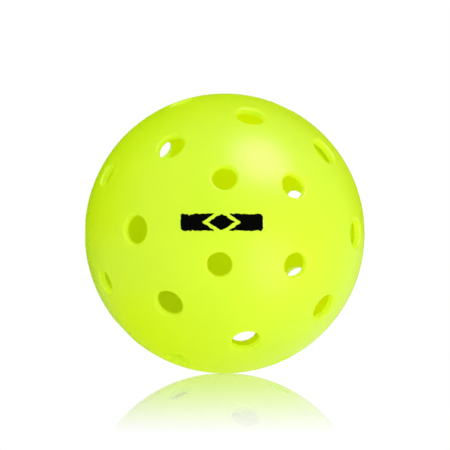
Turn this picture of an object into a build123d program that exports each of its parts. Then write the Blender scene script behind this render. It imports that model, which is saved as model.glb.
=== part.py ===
from build123d import *
import math
import os
from typing import NamedTuple

# Outdoor pickleball: a hollow plastic ball, moulded as two half shells that are welded together at
# the equator and drilled with forty holes, with a mark printed on the front.
#
# Millimetres, +Z up, origin at the centre of the ball. The ball lies with its poles nearly level:
# the front pole looks along -Y and is raised a little. A place on a half is a colatitude, counted
# from that half's own pole, and an azimuth about it. Azimuth 0 on the front half is the top.

# Ball
BALL_RADIUS = 37.0
WALL = 1.8
POLE_RAISE = 3.3  # degrees, front pole above the level
PATTERN_ROLL = -1.5  # degrees, front pattern about its pole
REAR_CLOCKING = 67.5  # degrees, front azimuth at which the rear pattern starts

# Rim joint: a tongue on the front half enters a rebate in the rear half
TONGUE_LENGTH = 1.2  # past the equator
SEAM_WIDTH = 0.6  # gap between the outer rims, filled by the weld
BEAD_WIDTH = 0.6  # gap past the tongue, filled by the inner weld bead
BEAD_RISE = 0.35  # how far the inner bead stands into the hollow

# Holes
HOLE_EDGE_ROUNDING = 0.5


class Ring(NamedTuple):
    """Evenly spaced holes on one circle about a pole."""

    colatitude: float
    first_azimuth: float
    count: int
    hole_radius: float


RINGS = {
    "polar": Ring(23.0, 45.0, 4, 3.2),
    "middle": Ring(52.0, 0.0, 8, 3.7),
    "outer": Ring(79.8, 22.5, 8, 3.1),
}

# Holes that the drill left off their even spacing: azimuth and colatitude error in whole degrees
FRONT_WANDER = {
    ("polar", 0): (-8, 1),
    ("polar", 2): (0, -1),
    ("polar", 3): (4, -1),
    ("middle", 0): (-1, 0),
    ("middle", 2): (2, 1),
    ("middle", 3): (-1, -1),
    ("middle", 5): (1, -1),
    ("middle", 6): (-1, 1),
}
REAR_WANDER = {
    ("middle", 1): (-5, -4),
    ("middle", 3): (1, 0),
    ("middle", 5): (-1, 0),
    ("middle", 7): (0, -3),
}

# Printed mark: a bar with a diamond in its middle
MARK_COLATITUDE = 15.8
MARK_AZIMUTH = 86.7
MARK_LENGTH = 20.7
MARK_HEIGHT = 4.5
MARK_CORNER = 0.9
DIAMOND_HALF_LENGTH = 3.4
DIAMOND_GAP = 1.5  # between the diamond's point and the bar's notch, along the mark
INK_THICKNESS = 0.05

MIDDLE_RADIUS = BALL_RADIUS - WALL / 2
INNER_RADIUS = BALL_RADIUS - WALL
REBATE_DEPTH = TONGUE_LENGTH + BEAD_WIDTH


def spherical(frame, colatitude, azimuth):
    """The unit vector at a colatitude and azimuth of a half's frame."""
    c, a = math.radians(colatitude), math.radians(azimuth)
    across = frame.x_dir * math.cos(a) + frame.y_dir * math.sin(a)
    return frame.z_dir * math.cos(c) + across * math.sin(c)


def turned(frame, azimuth):
    """A half's frame turned about its pole, so that an azimuth becomes azimuth 0."""
    return Plane(origin=(0, 0, 0), x_dir=spherical(frame, 90, azimuth), z_dir=frame.z_dir)


def wall_face(radius, height):
    """Distance of a spherical wall face from the axis, at a height above the equator."""
    return math.sqrt(radius**2 - height**2)


def dome(frame, radius, height):
    """The part of a solid ball above a height, with its own seam line clear of a half's holes."""
    with BuildPart(turned(frame, RINGS["outer"].first_azimuth / 2)) as cap:
        Sphere(radius)
        split(bisect_by=frame.offset(height), keep=Keep.TOP)
    return cap.part


def hole_planes(frame, ring_name, wander):
    """Planes on the ball's surface, each facing out along one hole of a ring."""
    ring = RINGS[ring_name]
    planes = []
    for index in range(ring.count):
        azimuth_error, colatitude_error = wander.get((ring_name, index), (0, 0))
        azimuth = ring.first_azimuth + index * 360 / ring.count + azimuth_error
        out = spherical(frame, ring.colatitude + colatitude_error, azimuth)
        planes.append(Plane(origin=out * BALL_RADIUS, z_dir=out))
    return planes


def drill_and_round(half, frame, wander):
    """Drill one half's three rings of holes and round their outer edges."""
    for ring_name, ring in RINGS.items():
        with Locations(*hole_planes(frame, ring_name, wander)):
            Hole(ring.hole_radius, depth=2 * WALL)
    rim_length = 2 * math.pi * RINGS["middle"].hole_radius
    rims = half.edges().filter_by(lambda edge: BALL_RADIUS / 2 < edge.length < 1.1 * rim_length)
    fillet(rims.filter_by(lambda edge: (edge @ 0).length > MIDDLE_RADIUS), HOLE_EDGE_ROUNDING)


front_pole = Vector(0, -1, 0).rotate(Axis.X, -POLE_RAISE)
front_top = Vector(0, 0, 1).rotate(Axis.X, -POLE_RAISE)
front = turned(Plane(origin=(0, 0, 0), x_dir=front_top, z_dir=front_pole), PATTERN_ROLL)
rear = Plane(origin=(0, 0, 0), x_dir=spherical(front, 90, REAR_CLOCKING), z_dir=-front_pole)

# Front half: the tongue carries the inner half of the wall past the equator
with BuildPart() as front_half_shell:
    add(dome(front, BALL_RADIUS, SEAM_WIDTH / 2))
    add(dome(front, MIDDLE_RADIUS, -TONGUE_LENGTH))
    add(dome(front, INNER_RADIUS, -2 * TONGUE_LENGTH), mode=Mode.SUBTRACT)
    drill_and_round(front_half_shell, front, FRONT_WANDER)

# Rear half: the rebate clears the tongue and the inner bead
with BuildPart() as rear_half_shell:
    add(dome(rear, BALL_RADIUS, SEAM_WIDTH / 2))
    add(dome(front, MIDDLE_RADIUS, -REBATE_DEPTH), mode=Mode.SUBTRACT)
    add(dome(rear, INNER_RADIUS, 0), mode=Mode.SUBTRACT)
    drill_and_round(rear_half_shell, rear, REAR_WANDER)

# Weld: remelted plastic, a ring flush with the outside and a bead that stands into the hollow
with BuildPart() as weld_seam:
    add(dome(front, BALL_RADIUS, -SEAM_WIDTH / 2))
    add(dome(front, 2 * BALL_RADIUS, SEAM_WIDTH / 2), mode=Mode.SUBTRACT)
    add(dome(front, MIDDLE_RADIUS, -SEAM_WIDTH), mode=Mode.SUBTRACT)
    with BuildSketch(Plane(origin=(0, 0, 0), x_dir=rear.x_dir, z_dir=-rear.y_dir)):
        with BuildLine():
            near, far = TONGUE_LENGTH, REBATE_DEPTH
            corners = [(wall_face(radius, height), height) for radius, height in (
                (INNER_RADIUS, near), (MIDDLE_RADIUS, near), (MIDDLE_RADIUS, far), (INNER_RADIUS, far),
            )]
            crest = (INNER_RADIUS - BEAD_RISE, (near + far) / 2)
            Polyline(*corners)
            ThreePointArc(corners[-1], crest, corners[0])
        make_face()
    revolve(axis=Axis((0, 0, 0), rear.z_dir))

# Printed mark: a skin of ink on the ball, level from left to right
mark_out = spherical(front, MARK_COLATITUDE, MARK_AZIMUTH)
mark_plane = Plane(origin=mark_out * BALL_RADIUS, x_dir=Vector(0, 0, 1).cross(mark_out), z_dir=mark_out)
half_height = MARK_HEIGHT / 2


def diamond(half_length, mode=Mode.ADD):
    """A diamond whose sides keep one slope, so that a larger one leaves an even gap."""
    half_width = half_length * half_height / DIAMOND_HALF_LENGTH
    corners = [(half_length, 0), (0, half_width), (-half_length, 0), (0, -half_width)]
    Polygon(*corners, align=None, mode=mode)


with BuildPart() as printed_mark:
    with BuildSketch(mark_plane.offset(-MARK_HEIGHT)):
        RectangleRounded(MARK_LENGTH, MARK_HEIGHT, MARK_CORNER)
        diamond(DIAMOND_HALF_LENGTH + DIAMOND_GAP, Mode.SUBTRACT)
        diamond(DIAMOND_HALF_LENGTH)
    extrude(amount=2 * MARK_HEIGHT)
    Sphere(BALL_RADIUS + INK_THICKNESS, mode=Mode.INTERSECT)
    Sphere(BALL_RADIUS, mode=Mode.SUBTRACT)

os.makedirs("parts", exist_ok=True)
pieces = {
    "front_half_shell": front_half_shell,
    "rear_half_shell": rear_half_shell,
    "weld_seam": weld_seam,
    "printed_mark": printed_mark,
}
for name, piece in pieces.items():
    piece.part.label = name
    export_step(piece.part, f"parts/{name}.step")
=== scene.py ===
import math

import bmesh
import bpy
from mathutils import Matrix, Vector, noise


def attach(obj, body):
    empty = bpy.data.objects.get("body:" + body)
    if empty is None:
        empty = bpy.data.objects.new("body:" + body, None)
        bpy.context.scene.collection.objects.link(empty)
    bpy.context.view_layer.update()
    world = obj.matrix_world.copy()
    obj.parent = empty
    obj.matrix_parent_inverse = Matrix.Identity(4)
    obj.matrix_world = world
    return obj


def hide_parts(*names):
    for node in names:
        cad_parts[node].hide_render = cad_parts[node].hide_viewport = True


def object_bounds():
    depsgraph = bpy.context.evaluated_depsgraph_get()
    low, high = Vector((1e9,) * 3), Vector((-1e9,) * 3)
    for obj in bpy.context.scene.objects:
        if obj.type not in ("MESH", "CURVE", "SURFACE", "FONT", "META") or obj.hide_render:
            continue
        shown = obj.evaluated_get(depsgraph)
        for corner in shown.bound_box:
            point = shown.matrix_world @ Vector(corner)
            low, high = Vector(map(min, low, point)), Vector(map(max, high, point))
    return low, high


# A hollow, drilled pickleball ball in yellow-green plastic, on a glossy white table under soft light.
# Metres and watts, in the CAD frame: +Z up, the ball's centre at the origin.

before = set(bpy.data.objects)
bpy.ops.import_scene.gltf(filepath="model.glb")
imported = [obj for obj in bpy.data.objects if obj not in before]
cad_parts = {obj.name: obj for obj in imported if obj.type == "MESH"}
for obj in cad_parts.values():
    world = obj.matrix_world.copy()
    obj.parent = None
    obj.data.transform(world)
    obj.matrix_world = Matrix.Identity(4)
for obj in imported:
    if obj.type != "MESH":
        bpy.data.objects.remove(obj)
cad_low, cad_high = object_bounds()

# Ball: the wall, and the seam where its two halves are welded
BALL_RADIUS = (cad_high.x - cad_low.x) / 2
MIDDLE_RADIUS = BALL_RADIUS - 0.0009
INNER_RADIUS = BALL_RADIUS - 0.0018
POLE_RAISE = math.radians(3.3)
FRONT_POLE = Vector((0, -math.cos(POLE_RAISE), math.sin(POLE_RAISE)))
SEAM_HALF_WIDTH = 0.0003
SEAM_DIP = 0.00005  # the ring lies this far below the ball's surface at its edges
SEAM_MIDDLE_DIP = 0.55  # and this share of it at its middle
SEAM_UNEVENNESS = 0.00002
COARSE_SHARE, COARSE_SCALE = 0.6, 9  # the two noises that make the weld uneven round the seam
FINE_SHARE, FINE_SCALE = 0.4, 45
BEAD_START = 0.0012  # behind the widest circle
BEAD_WIDTH = 0.0006
BEAD_RISE = 0.00029
BEAD_SHARE, BEAD_VARIATION = 0.8, 0.4  # of the rise: where the noise is nought, and what the noise adds
BEAD_STEPS = 8
WELD_STEPS = 720
WELD_CORNER = math.radians(50)  # sharper edges than this stay sharp

# Printed mark
EDGE_WANDER = 0.00026
RAGGEDNESS = 1250  # waves of the edge per metre, roughly
VOID_SCALE, VOID_LEVEL = 1300, 0.69  # the ink is missing where this noise is above its level
VOID_SLOPE = 0.002
DIAMOND_HALF_LENGTH = 0.0034
DIAMOND_GAP = 0.0015
MARK_CORNER = 0.0007
MARK_CELL = 0.00014
INK_EDGE = 0.000012
INK_THICKNESS = 0.000035
INK_TAPER = 0.0003  # width of the edge over which the ink reaches its full thickness

# Plastic: linear colours; a share of the light passes through, more of it at the inner surface
SKIN_A = (0.58, 0.83, 0.006, 1)
SKIN_B = (0.61, 0.845, 0.009, 1)
# The inside is paler and yellower than the skin: painted light, standing in for the warm light that gathers
# in the hollow
INSIDE_PAINTED_LIGHT_COLOUR = (0.78, 0.92, 0.008, 1)
THROUGH_COLOUR = (0.93, 0.95, 0.01, 1)
# Hole walls glow with painted light: emission in this colour stands in for light scattered through the wall
PAINTED_HOLE_LIGHT_COLOUR = (0.78, 1.0, 0.12, 1)
PAINTED_HOLE_LIGHT_STRENGTH = 0.18
ZONE_EDGE = 0.00001  # a zone of the material ends this far off the surface that it borders
INNER_BLEND = 0.0001
WALL_BLEND_INSIDE, WALL_BLEND_OUTSIDE = 0.0002, 0.0004
THROUGH_SHARE = 0.4
INNER_THROUGH = 0.45
WAVE_SCALE, WAVE_DEPTH = 60.0, 0.00008
GRAIN_SCALE, GRAIN_DEPTH = 900.0, 0.00001
RIPPLE_SCALE, RIPPLE_STRETCH = 700.0, (1.0, 0.25, 1.0)
WELD_RIPPLE = 0.00002
TOOL_PITCH, TOOL_DEPTH = 0.00022, 0.000003
SMOOTHEST, ROUGHEST = 0.30, 0.37
BUFFED_HALF_WIDTH, BUFFED_MIDDLE = 0.0016, 0.6  # fully buffed over this share of the width
BUFFED_SMOOTHING = 0.05
INNER_ROUGHENING = 0.25
HALF_RANGE = (0.3, 0.7)  # where a noise makes most of its change

# Ink
INK_COLOUR = (0.0006, 0.0006, 0.0006, 1)
SPECK_COLOUR = (0.003, 0.004, 0.001, 1)
INK_ROUGHNESS = (0.45, 0.6)
INK_GRAIN_SCALE, INK_GRAIN_DEPTH = 1500.0, 0.00002
SPECK_SCALE, SPECK_RANGE = 4200.0, (0.62, 0.72)

# Camera: level with the ball's centre
VIEW_AZIMUTH = -14.81  # degrees
CAMERA_DISTANCE = 0.703
LENS = 212.5
SHIFT_X, SHIFT_Y = 0.00076, 0.0188

view_angle = math.radians(VIEW_AZIMUTH)
to_camera = Vector((math.sin(view_angle), -math.cos(view_angle), 0))
to_right = Vector((math.cos(view_angle), math.sin(view_angle), 0))
up = Vector((0, 0, 1))


def camera_space(right, above, front):
    """A unit vector given by its parts to the right of the view, upward and towards the camera."""
    return (to_right * right + up * above + to_camera * front).normalized()


# Lamps, all at one distance: the back and side ones light the plastic, the key gives the highlight
LAMP_DISTANCE = 0.8
BACK_LAMP, BACK_SIZE, BACK_POWER = camera_space(0.45, 0.6, -1.0), 0.9, 5.0
SIDE_LAMP, SIDE_SIZE, SIDE_POWER = camera_space(-0.65, 0.75, -0.3), 0.9, 3.2
SIDE_COLOUR = (0.7, 1.0, 0.3)
KEY_LAMP, KEY_SIZE, KEY_POWER = camera_space(0.417, 0.832, 0.368), 0.56, 6.5

# Room and table: plain white where they are seen, and cards of light for what they throw on the ball
BRIGHT_SIDE = camera_space(0.3, 0.08, 1.0)
CARD_RANGE, CARD_LEVEL = (-0.65, 0.2), 1.22
BRIGHT_TABLE = camera_space(0.45, -0.15, 1.0)
TABLE_RANGE, TABLE_LEVEL = (-1.2, 0.1), 1.25
LOW_CARD = camera_space(0.507, -0.306, 0.805)
PATCH_RANGE, PATCH_LEVEL = (0.93, 0.988), 2.4
BOUNCE_COLOUR = (0.92, 0.97, 0.10, 1)  # the ball's own light, thrown back by the table round the contact
TINT_CENTRE = to_right * -0.029 + to_camera * -0.007
TINT_RANGE = (0.014, 0.068)
FLOOR_Z = -0.037
TABLE_HALF_WIDTH = 4.0
MIRROR_REACH, MIRROR_FALL, MIRROR_GAIN = 0.211, 1.85, 1.13
WHITE = (1, 1, 1, 1)


class Graph:
    """Short calls that add and link shader nodes."""

    def __init__(self, tree):
        self.tree = tree

    def node(self, kind, inputs=None, **settings):
        made = self.tree.nodes.new(kind)
        for key, value in settings.items():
            setattr(made, key, value)
        for key, value in (inputs or {}).items():
            self.fill(made.inputs[key], value)
        return made

    def fill(self, socket, value):
        """Link a socket, or set its value."""
        if isinstance(value, bpy.types.NodeSocket):
            self.tree.links.new(value, socket)
        else:
            socket.default_value = value

    def math(self, operation, *values, clamp=False):
        return self.node(
            "ShaderNodeMath", dict(enumerate(values)), operation=operation, use_clamp=clamp
        ).outputs[0]

    def vector(self, operation, *values, output="Vector"):
        return self.node(
            "ShaderNodeVectorMath", dict(enumerate(values)), operation=operation
        ).outputs[output]

    def dot(self, vector, direction):
        return self.vector("DOT_PRODUCT", vector, tuple(direction), output="Value")

    def length(self, vector):
        return self.vector("LENGTH", vector, output="Value")

    def ramp(self, value, low, high, out_low=0.0, out_high=1.0):
        return self.node(
            "ShaderNodeMapRange",
            {"Value": value, "From Min": low, "From Max": high, "To Min": out_low, "To Max": out_high},
            interpolation_type="SMOOTHSTEP",
        ).outputs["Result"]

    def mix_colour(self, factor, a, b):
        made = self.node("ShaderNodeMix", data_type="RGBA")
        for index, value in ((0, factor), (6, a), (7, b)):
            self.fill(made.inputs[index], value)
        return made.outputs[2]

    def mix_shader(self, factor, a, b):
        return self.node("ShaderNodeMixShader", {0: factor, 1: a, 2: b}).outputs[0]

    def noise(self, vector, scale, detail):
        return self.node(
            "ShaderNodeTexNoise",
            {"Vector": vector, "Scale": scale, "Detail": detail, "Roughness": 0.5},
        ).outputs["Fac"]

    def bump(self, height, strength):
        return self.node(
            "ShaderNodeBump", {"Strength": strength, "Distance": 1.0, "Height": height}
        ).outputs[0]

    def object_point(self):
        return self.node("ShaderNodeTexCoord").outputs["Object"]

    def in_view(self):
        """1 where the camera sees a thing, itself or in a mirror, and 0 where the thing only gives light."""
        path = self.node("ShaderNodeLightPath").outputs
        return self.math("MAXIMUM", path["Is Camera Ray"], path["Is Singular Ray"])

    def white_or(self, seen, light):
        """Strength 1 where it is seen, and the strength of a card where it only gives light."""
        return self.node("ShaderNodeMix", {0: seen, 2: light, 3: 1.0}, data_type="FLOAT").outputs[0]


def new_graph(owner):
    """An empty node tree for a material or world."""
    owner.use_nodes = True
    owner.node_tree.nodes.clear()
    return Graph(owner.node_tree)


def new_material(name):
    material = bpy.data.materials.new(name)
    return material, new_graph(material)


def make_room():
    """White card in front of the ball; behind it on the left the room is dark."""
    world = bpy.data.worlds.new("studio")
    bpy.context.scene.world = world
    g = new_graph(world)
    direction = g.node("ShaderNodeTexCoord").outputs["Generated"]
    card = g.ramp(g.dot(direction, BRIGHT_SIDE), *CARD_RANGE, 0.0, CARD_LEVEL)
    strength = g.white_or(g.in_view(), card)
    shade = g.node("ShaderNodeBackground", {"Color": WHITE, "Strength": strength})
    g.node("ShaderNodeOutputWorld", {"Surface": shade.outputs[0]})


def add_lamp(name, direction, size, power):
    data = bpy.data.lights.new(name, "AREA")
    data.shape = "DISK"
    data.size = size
    data.energy = power
    lamp = bpy.data.objects.new(name, data)
    bpy.context.scene.collection.objects.link(lamp)
    lamp.location = direction * LAMP_DISTANCE
    lamp.rotation_mode = "QUATERNION"
    lamp.rotation_quaternion = direction.to_track_quat("Z", "Y")
    lamp.visible_camera = False
    return lamp


def add_lamps():
    back = add_lamp("back", BACK_LAMP, BACK_SIZE, BACK_POWER)
    back.visible_glossy = False
    side = add_lamp("side", SIDE_LAMP, SIDE_SIZE, SIDE_POWER)
    side.visible_glossy = False
    side.data.color = SIDE_COLOUR
    key = add_lamp("key", KEY_LAMP, KEY_SIZE, KEY_POWER)
    key.visible_diffuse = False
    key.visible_transmission = False


def white_acrylic():
    """White where seen, and as glossy as polished acrylic round the ball; clear from below. Towards the ball
    it glows with painted light.
    """
    material, g = new_material("white_acrylic")
    point = g.object_point()
    seen = g.in_view()

    from_ball = g.vector("NORMALIZE", g.vector("ADD", point, (0, 0, FLOOR_Z)))
    # Painted light for the ball only: brighter towards the front right, a bright patch low at the front
    # right, and the ball's green near the contact
    card = g.ramp(g.dot(from_ball, BRIGHT_TABLE), *TABLE_RANGE, 0.0, TABLE_LEVEL)
    patch = g.ramp(g.dot(from_ball, LOW_CARD), *PATCH_RANGE, 0.0, PATCH_LEVEL)
    strength = g.white_or(seen, g.math("ADD", card, patch))
    off_centre = g.vector("DISTANCE", point, tuple(TINT_CENTRE), output="Value")
    untinted = g.math("MAXIMUM", seen, g.ramp(off_centre, *TINT_RANGE))
    colour = g.mix_colour(untinted, BOUNCE_COLOUR, WHITE)
    white = g.node("ShaderNodeEmission", {"Color": colour, "Strength": strength}).outputs[0]

    mirror = g.node("ShaderNodeBsdfAnisotropic", {"Color": WHITE, "Roughness": 0.0}).outputs[0]
    across = g.length(g.vector("MULTIPLY", point, (1, 1, 0)))
    fall = g.math("POWER", g.math("DIVIDE", across, MIRROR_REACH), MIRROR_FALL)
    fade = g.math("SUBTRACT", 1.0, fall, clamp=True)
    fresnel = g.node("ShaderNodeFresnel", {"IOR": 1.5}).outputs[0]
    share = g.math("MULTIPLY", g.math("MULTIPLY", fresnel, MIRROR_GAIN), fade, clamp=True)
    surface = g.mix_shader(share, white, mirror)

    below = g.node("ShaderNodeNewGeometry").outputs["Backfacing"]
    clear = g.node("ShaderNodeBsdfTransparent").outputs[0]
    surface = g.mix_shader(below, surface, clear)
    g.node("ShaderNodeOutputMaterial", {"Surface": surface})
    return material


def add_table():
    reach = TABLE_HALF_WIDTH
    corners = [(-reach, -reach, 0), (reach, -reach, 0), (reach, reach, 0), (-reach, reach, 0)]
    mesh = bpy.data.meshes.new("table")
    mesh.from_pydata(corners, [], [(0, 1, 2, 3)])
    mesh.materials.append(white_acrylic())
    table = bpy.data.objects.new("table", mesh)
    table.location.z = FLOOR_Z
    bpy.context.scene.collection.objects.link(table)


def plastic(name, ripple):
    """Moulded plastic that lets light through, with painted light glowing from its hole walls; ripple is the
    depth of the marks that a weld leaves.
    """
    material, g = new_material(name)
    point = g.object_point()
    from_centre = g.length(point)
    broad = g.noise(point, WAVE_SCALE, 3.0)
    fine = g.noise(point, GRAIN_SCALE, 2.0)
    inner = g.ramp(from_centre, INNER_RADIUS + INNER_BLEND, INNER_RADIUS + ZONE_EDGE)
    below_skin = g.ramp(from_centre, BALL_RADIUS, BALL_RADIUS - WALL_BLEND_OUTSIDE)
    above_inside = g.ramp(from_centre, INNER_RADIUS + ZONE_EDGE, INNER_RADIUS + WALL_BLEND_INSIDE)
    # hole_wall marks the drilled walls, for their tool marks and for their painted glow
    hole_wall = g.math("MULTIPLY", below_skin, above_inside)
    from_equator = g.math("ABSOLUTE", g.dot(point, FRONT_POLE))
    buffed = g.ramp(from_equator, BUFFED_HALF_WIDTH, BUFFED_MIDDLE * BUFFED_HALF_WIDTH)

    skin = g.mix_colour(g.ramp(broad, *HALF_RANGE), SKIN_A, SKIN_B)
    # Painted light: the inner surface takes the paler, yellower colour of the light inside the hollow
    colour = g.mix_colour(inner, skin, INSIDE_PAINTED_LIGHT_COLOUR)

    grain = g.math("MULTIPLY", fine, GRAIN_DEPTH)
    waves = g.math("MULTIPLY", broad, WAVE_DEPTH)
    turns = g.math("SINE", g.math("MULTIPLY", from_centre, 2 * math.pi / TOOL_PITCH))
    tool_marks = g.math("MULTIPLY", g.math("MULTIPLY", turns, hole_wall), TOOL_DEPTH)
    height = g.math("ADD", g.math("ADD", grain, waves), tool_marks)
    if ripple:
        stretched = g.vector("MULTIPLY", point, RIPPLE_STRETCH)
        height = g.math("ADD", height, g.math("MULTIPLY", g.noise(stretched, RIPPLE_SCALE, 3.0), ripple))

    roughness = g.ramp(fine, *HALF_RANGE, SMOOTHEST, ROUGHEST)
    roughness = g.math("SUBTRACT", roughness, g.math("MULTIPLY", buffed, BUFFED_SMOOTHING))
    roughness = g.math("ADD", roughness, g.math("MULTIPLY", inner, INNER_ROUGHENING))
    solid = g.node("ShaderNodeBsdfPrincipled", {
        "Base Color": colour,
        "Emission Color": PAINTED_HOLE_LIGHT_COLOUR,
        # Painted light: the hole walls emit a glow, though they are no lamp
        "Emission Strength": g.math("MULTIPLY", hole_wall, PAINTED_HOLE_LIGHT_STRENGTH),
        "Roughness": roughness,
        "IOR": 1.5,
        "Specular IOR Level": 0.58,
        "Normal": g.bump(height, 0.4),
    }).outputs[0]
    through = g.node("ShaderNodeBsdfTranslucent", {"Color": THROUGH_COLOUR}).outputs[0]
    share = g.math("MULTIPLY_ADD", inner, INNER_THROUGH, THROUGH_SHARE)
    g.node("ShaderNodeOutputMaterial", {"Surface": g.mix_shader(share, solid, through)})
    return material


def ink():
    """Nearly black, matt, and a little thinner in specks where the pad lifted."""
    material, g = new_material("ink")
    point = g.object_point()
    fine = g.noise(point, INK_GRAIN_SCALE, 3.0)
    specks = g.noise(point, SPECK_SCALE, 1.0)
    film = g.node("ShaderNodeBsdfPrincipled", {
        "Base Color": g.mix_colour(g.ramp(specks, *SPECK_RANGE), INK_COLOUR, SPECK_COLOUR),
        "Roughness": g.ramp(fine, *HALF_RANGE, *INK_ROUGHNESS),
        "Specular IOR Level": 0.01,
        "Normal": g.bump(g.math("MULTIPLY", fine, INK_GRAIN_DEPTH), 0.5),
    }).outputs[0]
    g.node("ShaderNodeOutputMaterial", {"Surface": film})
    return material


def paint(piece, material):
    piece.data.materials.clear()
    piece.data.materials.append(material)


def add_piece(name, made, material):
    """Turn a finished bmesh into a smooth-shaded object with one material."""
    bmesh.ops.recalc_face_normals(made, faces=made.faces)
    mesh = bpy.data.meshes.new(name)
    made.to_mesh(mesh)
    made.free()
    mesh.polygons.foreach_set("use_smooth", [True] * len(mesh.polygons))
    piece = bpy.data.objects.new(name, mesh)
    bpy.context.scene.collection.objects.link(piece)
    paint(piece, material)
    return piece


def weld_ring(unevenness):
    """Cross-section of the outer ring, as points (distance from the centre, height to the front)."""
    outer = []
    for step in range(-3, 4):
        share = SEAM_MIDDLE_DIP + (1 - SEAM_MIDDLE_DIP) * (step / 3) ** 2
        dip = SEAM_DIP * share + SEAM_UNEVENNESS * unevenness
        outer.append((BALL_RADIUS - dip, SEAM_HALF_WIDTH * step / 3))
    return outer + [(MIDDLE_RADIUS, SEAM_HALF_WIDTH), (MIDDLE_RADIUS, -SEAM_HALF_WIDTH)]


def weld_bead(unevenness):
    """Cross-section of the inner bead, which fills the gap past the front half's tongue."""
    rise = BEAD_RISE * (BEAD_SHARE + BEAD_VARIATION * unevenness)
    inner = []
    for step in range(BEAD_STEPS + 1):
        along = step / BEAD_STEPS
        height = -BEAD_START - BEAD_WIDTH * along
        inner.append((INNER_RADIUS - rise * math.sin(math.pi * along), height))
    return inner + [(MIDDLE_RADIUS, -BEAD_START - BEAD_WIDTH), (MIDDLE_RADIUS, -BEAD_START)]


def lathe(made, section, seed):
    """Sweep a closed cross-section round the pole, with an unevenness that closes on itself."""
    start = Vector((1, 0, 0))
    side = FRONT_POLE.cross(start)
    rings = []
    for step in range(WELD_STEPS):
        angle = 2 * math.pi * step / WELD_STEPS
        across = start * math.cos(angle) + side * math.sin(angle)
        coarse = COARSE_SHARE * noise.noise(across * COARSE_SCALE + seed)
        unevenness = coarse + FINE_SHARE * noise.noise(across * FINE_SCALE + seed)
        rings.append([
            made.verts.new(across * math.sqrt(radius**2 - height**2) + FRONT_POLE * height)
            for radius, height in section(unevenness)
        ])
    for ring, following in zip(rings, rings[1:] + rings[:1]):
        for i in range(len(ring)):
            made.faces.new([ring[i - 1], ring[i], following[i], following[i - 1]])


def add_weld():
    """A ring trimmed just below the surface of the ball, and a bead inside, each a little uneven."""
    made = bmesh.new()
    lathe(made, weld_ring, Vector((4, 1, 6)))
    lathe(made, weld_bead, Vector((2, 9, 3)))
    weld = add_piece("weld_ring_and_bead", made, plastic("weld_plastic", WELD_RIPPLE))
    sharp = weld.modifiers.new("sharp_corners", "EDGE_SPLIT")
    sharp.split_angle = WELD_CORNER
    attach(weld, "root")
    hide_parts("weld_seam")


class MarkPlane:
    """The plane of the CAD mark: u runs along the mark, v across it, both from its middle."""

    def __init__(self, points):
        self.out = sum(points, Vector()).normalized()
        self.along = up.cross(self.out).normalized()
        self.across = self.out.cross(self.along)
        self.half_length = max(abs(point.dot(self.along)) for point in points)
        self.half_height = max(abs(point.dot(self.across)) for point in points)

    def on_ball(self, u, v, height):
        """The point over (u, v), at a height above the ball's surface."""
        radius = BALL_RADIUS + height
        depth = math.sqrt(radius**2 - u**2 - v**2)
        return self.along * u + self.across * v + self.out * depth


def from_diamond(u, v, half_length, half_width):
    """Rough distance outside a diamond, negative inside it."""
    slope = math.hypot(1 / half_length, 1 / half_width)
    return (abs(u) / half_length + abs(v) / half_width - 1) / slope


def from_mark(u, v, half_length, half_height):
    """Rough distance outside a ragged bar with a diamond in its middle, negative inside it."""
    place = Vector((u, v, 0))
    void = noise.noise(place * VOID_SCALE + Vector((1, 8, 4))) - VOID_LEVEL
    u += EDGE_WANDER * noise.noise(place * RAGGEDNESS + Vector((3, 5, 7)))
    v += EDGE_WANDER * noise.noise(place * RAGGEDNESS + Vector((11, 2, 9)))
    grown = 1 + DIAMOND_GAP / DIAMOND_HALF_LENGTH
    right = abs(u) - half_length + EDGE_WANDER / 2 + MARK_CORNER
    above = abs(v) - half_height + EDGE_WANDER / 2 + MARK_CORNER
    bar = math.hypot(max(right, 0), max(above, 0)) + min(max(right, above), 0) - MARK_CORNER
    notch = from_diamond(u, v, DIAMOND_HALF_LENGTH * grown, half_height * grown)
    diamond = from_diamond(u, v, DIAMOND_HALF_LENGTH, half_height - EDGE_WANDER / 2)
    return max(min(max(bar, -notch), diamond), void * VOID_SLOPE)


def ink_height(distance):
    """Thickness of the ink film: thin at its edge, full a little way in."""
    return INK_EDGE + (INK_THICKNESS - INK_EDGE) * min(max(-distance / INK_TAPER, 0), 1)


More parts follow.
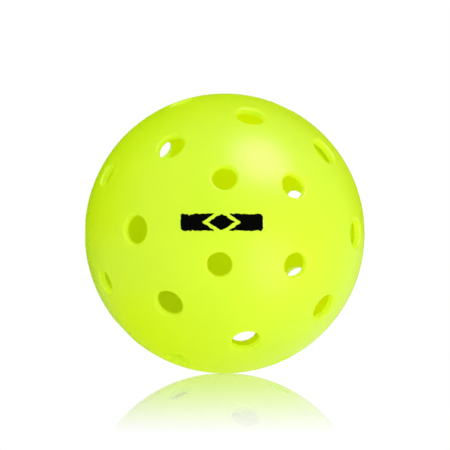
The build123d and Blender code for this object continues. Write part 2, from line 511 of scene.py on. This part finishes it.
def print_mark(plane):
    """Fill the printed shape cell by cell, cut at its edge, and close the film underneath."""
    columns = math.ceil(2 * plane.half_length / MARK_CELL) + 2
    rows = math.ceil(2 * plane.half_height / MARK_CELL) + 2
    grid = {}
    for i in range(columns + 1):
        for j in range(rows + 1):
            u, v = (i - columns / 2) * MARK_CELL, (j - rows / 2) * MARK_CELL
            grid[i, j] = (u, v, from_mark(u, v, plane.half_length, plane.half_height))
    made = bmesh.new()
    corners = {}

    def corner(a, b):
        """The top and bottom vertices at a grid corner, or where the edge crosses from a to b."""
        key = (min(a, b), max(a, b))
        if key not in corners:
            (ua, va, da), (ub, vb, db) = grid[key[0]], grid[key[1]]
            along = 0 if a == b else da / (da - db)
            u, v = ua + (ub - ua) * along, va + (vb - va) * along
            top = ink_height(da if a == b else 0)
            corners[key] = tuple(made.verts.new(plane.on_ball(u, v, h)) for h in (top, 0))
        return corners[key]

    for i in range(columns):
        for j in range(rows):
            cell = [(i, j), (i + 1, j), (i + 1, j + 1), (i, j + 1)]
            loop = []
            for a, b in zip(cell, cell[1:] + cell[:1]):
                if grid[a][2] < 0:
                    loop.append(corner(a, a))
                if (grid[a][2] < 0) != (grid[b][2] < 0):
                    loop.append(corner(a, b))
            if len(loop) > 2:
                made.faces.new([top for top, bottom in loop])
                made.faces.new([bottom for top, bottom in reversed(loop)])
    below = {top: bottom for top, bottom in corners.values()}
    for edge in [e for e in made.edges if e.is_boundary and e.verts[0] in below and e.verts[1] in below]:
        a, b = edge.verts
        if edge.link_loops[0].vert != a:
            a, b = b, a
        made.faces.new([b, a, below[a], below[b]])
    return made


def add_mark():
    """The print, laid where the CAD mark lies."""
    plane = MarkPlane([v.co.copy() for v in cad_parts["printed_mark"].data.vertices])
    mark = add_piece("ink_mark", print_mark(plane), ink())
    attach(mark, "root")
    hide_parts("printed_mark")


def add_camera():
    data = bpy.data.cameras.new("camera")
    data.lens = LENS
    data.shift_x, data.shift_y = SHIFT_X, SHIFT_Y
    data.clip_start, data.clip_end = 0.01, 20.0
    camera = bpy.data.objects.new("camera", data)
    camera.location = to_camera * CAMERA_DISTANCE
    camera.rotation_mode = "QUATERNION"
    camera.rotation_quaternion = to_camera.to_track_quat("Z", "Y")
    bpy.context.scene.collection.objects.link(camera)
    bpy.context.scene.camera = camera
    bpy.context.scene.view_settings.view_transform = "Standard"


make_room()
add_lamps()
add_table()
shell_material = plastic("ball_plastic", 0.0)
paint(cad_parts["front_half_shell"], shell_material)
paint(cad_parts["rear_half_shell"], shell_material)
add_weld()
add_mark()
add_camera()
